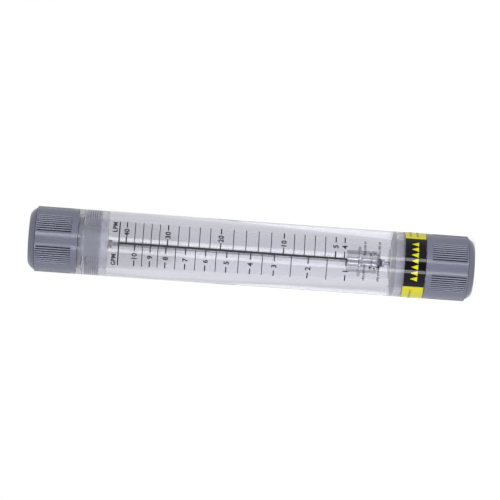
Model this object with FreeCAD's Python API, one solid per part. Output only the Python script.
"""In-line variable-area flow meter (rotameter) for a one-inch pipe, in millimetres.

A clear acrylic tube is bored with a slow taper, narrow at the inlet and wide at the outlet.
A stainless float rides on a rod along the axis: the faster the flow, the higher it stands.
A grey PVC adapter screws into each end of the tube and clamps a spider, a four-armed cross
that holds the rod. An O-ring seals each adapter. A printed vinyl band wraps the tube at the inlet.

Frame: +Z runs with the flow, from inlet to outlet. The origin is the centre of the inlet face,
on which the meter can stand. -Y is the front, where the scale is printed.
"""
import FreeCAD
import Part

import math
import os

from FreeCAD import Vector

# ---- Driving dimensions -------------------------------------------------------------------

# Whole meter
overall_length = 306.0
head_length = 33.4          # adapter head, from its end face to the shoulder at the tube
joint_gap = 0.2             # left between that shoulder and the tube when the adapter is tight

# Tapered bore and the wall around it
bore_inlet_radius = 11.2
bore_outlet_radius = 17.0
outlet_ledge = 0.2          # step from the wide end of the bore out to the thread
seat_half_angle = 56.3      # of the conical seat at the narrow end, measured from the axis
wall_over_thread = 4.5
tube_edge_chamfer = 0.4

# Screw joint between tube and adapter: a fine thread, drawn plain at the crest of the female one
thread_height = 0.8
thread_clearance = 0.1
shank_length = 15.8
shank_chamfer = 0.6
mouth_relief = 0.3          # the tube's mouth is opened this far beyond the thread
gland_length = 3.6          # O-ring groove at the root of the shank

# O-ring
ring_section_radius = 1.15
ring_clearance = 0.05

# Pipe port and flow passage of an adapter
port_radius = 15.15         # crest of a one-inch female pipe thread
port_depth = 20.0
port_chamfer = 0.6
passage_radius = 13.0
passage_cone_length = 1.4

# Outside of an adapter head
face_width = 1.45           # flat ring round the port, on which the meter stands
nose_height = 4.6
nose_inset = 1.1            # the nose ends this far inside the grip
nose_bulge = 0.62           # how far the nose's arc stands out from its chord
grip_edge = 0.3
flute_panels = 6
plain_angle = 26.0          # smooth strip between two panels of flutes, in degrees
flutes_per_panel = 8
flute_depth = 0.5
crest_width = 0.25
flute_start = 5.6           # from the end face
flute_end = 29.2
inlet_clocking = -4.0       # where each adapter stopped turning, in degrees about +Z
outlet_clocking = -1.0

# Spider
spider_thickness = 4.95
spider_clearance = 0.05     # between the spider and what clamps it
spider_fit = 0.2            # radial, inside the thread
arm_count = 4
arm_width = 2.4
hub_wall = 2.25
hub_above = 1.1             # hub beyond the rim, towards the float
hub_below = 3.5             # hub beyond the rim, into the passage
hub_chamfer = 0.6
socket_floor = 1.6

# Guide rod and float stops
rod_radius = 1.25
rod_chamfer = 0.3
rod_fit = 0.04
stop_radius = 2.9
stop_thickness = 1.8
lower_stop_height = 5.8     # foot of the lower stop above the hub

# Float
float_gap = 0.8             # between the float's disc and the narrow end of the bore
disc_overhang = 2.6
disc_thickness = 1.5
float_tail_length = 14.8    # from the tip to the disc
float_head_length = 7.7     # from the disc to the top
float_tip_radius = 2.4
tail_half_angle = 56.3
head_step = 0.2             # the float is this much slimmer above its disc
groove_height = 7.3         # lower edge of the float's groove above the tip
groove_width = 1.0
groove_depth = 0.7
float_chamfer = 0.5
float_bore_clearance = 0.15
float_rest_gap = 0.1

# Band label
label_width = 14.2
label_thickness = 0.15
label_glue = 0.02
label_inset = 0.15          # from the end of the tube
label_back_gap = 2.5

# ---- Worked out from them -----------------------------------------------------------------

crest_radius = bore_outlet_radius + outlet_ledge
thread_radius = crest_radius + thread_height
body_radius = thread_radius + wall_over_thread
shank_radius = crest_radius - thread_clearance
mouth_radius = thread_radius + mouth_relief
gland_radius = mouth_radius - 2 * (ring_section_radius + ring_clearance)

tube_foot = head_length + joint_gap
tube_top = overall_length - tube_foot
shank_end = head_length + shank_length
spider_foot = shank_end + spider_clearance
spider_top = spider_foot + spider_thickness
shoulder = spider_top + spider_clearance
seat_length = (crest_radius - bore_inlet_radius) / math.tan(math.radians(seat_half_angle))
outlet_shoulder = overall_length - shoulder
hub_radius = rod_radius + hub_wall
hub_top = spider_top + hub_above
hub_foot = spider_foot - hub_below
lower_stop_foot = hub_top + lower_stop_height
upper_stop_foot = overall_length - hub_top - spider_clearance - stop_thickness
float_tip = lower_stop_foot + stop_thickness + float_rest_gap
float_disc_radius = bore_inlet_radius - float_gap
float_tail_radius = float_disc_radius - disc_overhang
float_travel = upper_stop_foot - float_rest_gap - (
    float_tip + float_tail_length + disc_thickness + float_head_length)

Z_AXIS = Vector(0, 0, 1)
ORIGIN = Vector(0, 0, 0)


def turned(points):
    """The solid of revolution of a closed section, given as (radius, height) corners.

    A corner may be a pair of corners instead: a point on an arc, and the arc's end.
    """
    def at(corner):
        return Vector(corner[0], 0, corner[1])

    edges = []
    start = at(points[0])
    for corner in points[1:] + points[:1]:
        if isinstance(corner[0], tuple):
            end = at(corner[1])
            edges.append(Part.Arc(start, at(corner[0]), end).toShape())
        else:
            end = at(corner)
            edges.append(Part.LineSegment(start, end).toShape())
        start = end
    return Part.Face(Part.Wire(edges)).revolve(ORIGIN, Z_AXIS, 360)


def turned_about(shape, degrees):
    """The shape turned about the meter's axis."""
    copy = shape.copy()
    copy.rotate(ORIGIN, Z_AXIS, degrees)
    return copy


def at_outlet(shape):
    """The inlet's piece turned end for end into its place at the outlet."""
    copy = shape.copy()
    copy.rotate(Vector(0, 0, overall_length / 2), Vector(0, 1, 0), 180)
    return copy


def meter_tube():
    """Turned and polished acrylic: tapered bore, conical seat and a threaded mouth at each end."""
    mouth_end = tube_foot + gland_length - joint_gap
    far_mouth_end = overall_length - mouth_end
    return turned([
        (mouth_radius, tube_foot),
        (body_radius - tube_edge_chamfer, tube_foot),
        (body_radius, tube_foot + tube_edge_chamfer),
        (body_radius, tube_top - tube_edge_chamfer),
        (body_radius - tube_edge_chamfer, tube_top),
        (mouth_radius, tube_top),
        (mouth_radius, far_mouth_end),
        (crest_radius, far_mouth_end - mouth_relief - thread_height),
        (crest_radius, outlet_shoulder),
        (bore_outlet_radius, outlet_shoulder),
        (bore_inlet_radius, shoulder + seat_length),
        (crest_radius, shoulder),
        (crest_radius, mouth_end + mouth_relief + thread_height),
        (mouth_radius, mouth_end),
    ])


def flutes():
    """Cutters for the finger flutes: round-bottomed grooves in panels round the head."""
    panel_angle = 360.0 / flute_panels
    pitch_angle = (panel_angle - plain_angle) / flutes_per_panel
    half_width = (body_radius * math.radians(pitch_angle) - crest_width) / 2
    cutter_radius = (half_width ** 2 + flute_depth ** 2) / (2 * flute_depth)
    cutter = Part.makeCylinder(
        cutter_radius, flute_end - flute_start,
        Vector(0, -(body_radius - flute_depth + cutter_radius), flute_start))
    cutters = []
    for panel in range(flute_panels):
        for flute in range(flutes_per_panel):
            angle = panel * panel_angle + plain_angle / 2 + (flute + 0.5) * pitch_angle
            cutters.append(turned_about(cutter, angle))
    return cutters


def adapter():
    """Moulded PVC end fitting: fluted head with a pipe port, and a shank for tube and spider."""
    face_inner = port_radius + port_chamfer
    face_outer = face_inner + face_width
    nose_top = body_radius - nose_inset
    rise = nose_height / math.hypot(nose_height, nose_top - face_outer)
    run = (nose_top - face_outer) / math.hypot(nose_height, nose_top - face_outer)
    nose_middle = ((face_outer + nose_top) / 2 + nose_bulge * rise, nose_height / 2 - nose_bulge * run)
    blank = turned([
        (face_inner, 0),
        (face_outer, 0),
        (nose_middle, (nose_top, nose_height)),
        (body_radius - grip_edge, nose_height),
        (body_radius, nose_height + grip_edge),
        (body_radius, head_length),
        (gland_radius, head_length),
        (gland_radius, head_length + gland_length),
        (shank_radius, head_length + gland_length + shank_radius - gland_radius),
        (shank_radius, shank_end - shank_chamfer),
        (shank_radius - shank_chamfer, shank_end),
        (passage_radius, shank_end),
        (passage_radius, port_depth + passage_cone_length),
        (port_radius, port_depth),
        (port_radius, port_chamfer),
    ])
    return blank.cut(flutes())


def o_ring():
    """Silicone ring in the groove between adapter and tube."""
    return Part.makeTorus(
        gland_radius + ring_clearance + ring_section_radius, ring_section_radius,
        Vector(0, 0, head_length + gland_length / 2))


def spider():
    """Moulded cross: a rim clamped by the adapter, four arms, and a hub with a blind socket."""
    rim = turned([
        (passage_radius, spider_foot),
        (crest_radius - spider_fit, spider_foot),
        (crest_radius - spider_fit, spider_top),
        (passage_radius, spider_top),
    ])
    hub = turned([
        (0, hub_foot),
        (hub_radius - hub_chamfer, hub_foot),
        (hub_radius, hub_foot + hub_chamfer),
        (hub_radius, hub_top - hub_chamfer),
        (hub_radius - hub_chamfer, hub_top),
        (0, hub_top),
    ])
    reach = (passage_radius + crest_radius - spider_fit) / 2
    arm = Part.makeBox(reach, arm_width, spider_thickness, Vector(0, -arm_width / 2, spider_foot))
    arms = [turned_about(arm, 360.0 * i / arm_count) for i in range(arm_count)]
    socket = Part.makeCylinder(
        rod_radius + rod_fit, hub_top - hub_foot - socket_floor,
        Vector(0, 0, hub_foot + socket_floor))
    return rim.multiFuse([hub] + arms).removeSplitter().cut(socket)


def guide_rod():
    """Ground stainless rod, held in the sockets of the two hubs."""
    foot = hub_foot + socket_floor + spider_clearance
    top = overall_length - foot
    return turned([
        (0, foot),
        (rod_radius - rod_chamfer, foot),
        (rod_radius, foot + rod_chamfer),
        (rod_radius, top - rod_chamfer),
        (rod_radius - rod_chamfer, top),
        (0, top),
    ])


def float_stop(foot):
    """Push-on collar on the rod that ends the float's travel."""
    return turned([
        (rod_radius + rod_fit, foot),
        (stop_radius - rod_chamfer, foot),
        (stop_radius, foot + rod_chamfer),
        (stop_radius, foot + stop_thickness - rod_chamfer),
        (stop_radius - rod_chamfer, foot + stop_thickness),
        (rod_radius + rod_fit, foot + stop_thickness),
    ])


def flow_float():
    """Turned stainless float at rest on its lower stop. The disc's edge is read on the scale."""
    bore = rod_radius + float_bore_clearance
    tail = float_tail_radius
    head = tail - head_step
    cone_end = float_tip + (tail - float_tip_radius) / math.tan(math.radians(tail_half_angle))
    groove = float_tip + groove_height
    disc_foot = float_tip + float_tail_length
    disc_top = disc_foot + disc_thickness
    top = disc_top + float_head_length
    return turned([
        (bore, float_tip),
        (float_tip_radius, float_tip),
        (tail, cone_end),
        (tail, groove),
        (tail - groove_depth, groove),
        (tail - groove_depth, groove + groove_width),
        (tail, groove + groove_width),
        (tail, disc_foot),
        (float_disc_radius, disc_foot),
        (float_disc_radius, disc_top),
        (head, disc_top),
        (head, top - float_chamfer),
        (head - float_chamfer, top),
        (bore, top),
    ])


def band_label():
    """Vinyl band wrapped round the tube's inlet end. Its ends stop short of each other at the back."""
    inner = body_radius + label_glue
    foot = tube_foot + tube_edge_chamfer + label_inset
    band = turned([
        (inner, foot),
        (inner + label_thickness, foot),
        (inner + label_thickness, foot + label_width),
        (inner, foot + label_width),
    ])
    gap = Part.makeBox(
        label_back_gap, body_radius, 3 * label_width,
        Vector(-label_back_gap / 2, body_radius / 2, foot - label_width))
    return band.cut(gap)


def main():
    inlet_adapter = turned_about(adapter(), inlet_clocking)
    outlet_adapter = turned_about(at_outlet(adapter()), outlet_clocking)
    nodes = {
        "meter_tube": meter_tube(),
        "inlet_adapter": inlet_adapter,
        "outlet_adapter": outlet_adapter,
        "inlet_o_ring": o_ring(),
        "outlet_o_ring": at_outlet(o_ring()),
        "inlet_spider": spider(),
        "outlet_spider": at_outlet(spider()),
        "guide_rod": guide_rod(),
        "lower_float_stop": float_stop(lower_stop_foot),
        "upper_float_stop": float_stop(upper_stop_foot),
        "float": flow_float(),
        "band_label": band_label(),
    }
    os.makedirs("parts", exist_ok=True)
    for name, shape in nodes.items():
        shape.exportStep(os.path.join("parts", name + ".step"))
        print(f"{name}: {shape.Volume:.1f} mm3, valid {shape.isValid()}, solids {len(shape.Solids)}")
    print(f"body radius {body_radius:.2f}, float travel {float_travel:.2f}")
    print(f"float tip {float_tip:.2f}, bore seat at {shoulder:.2f} to {shoulder + seat_length:.2f}")


main()
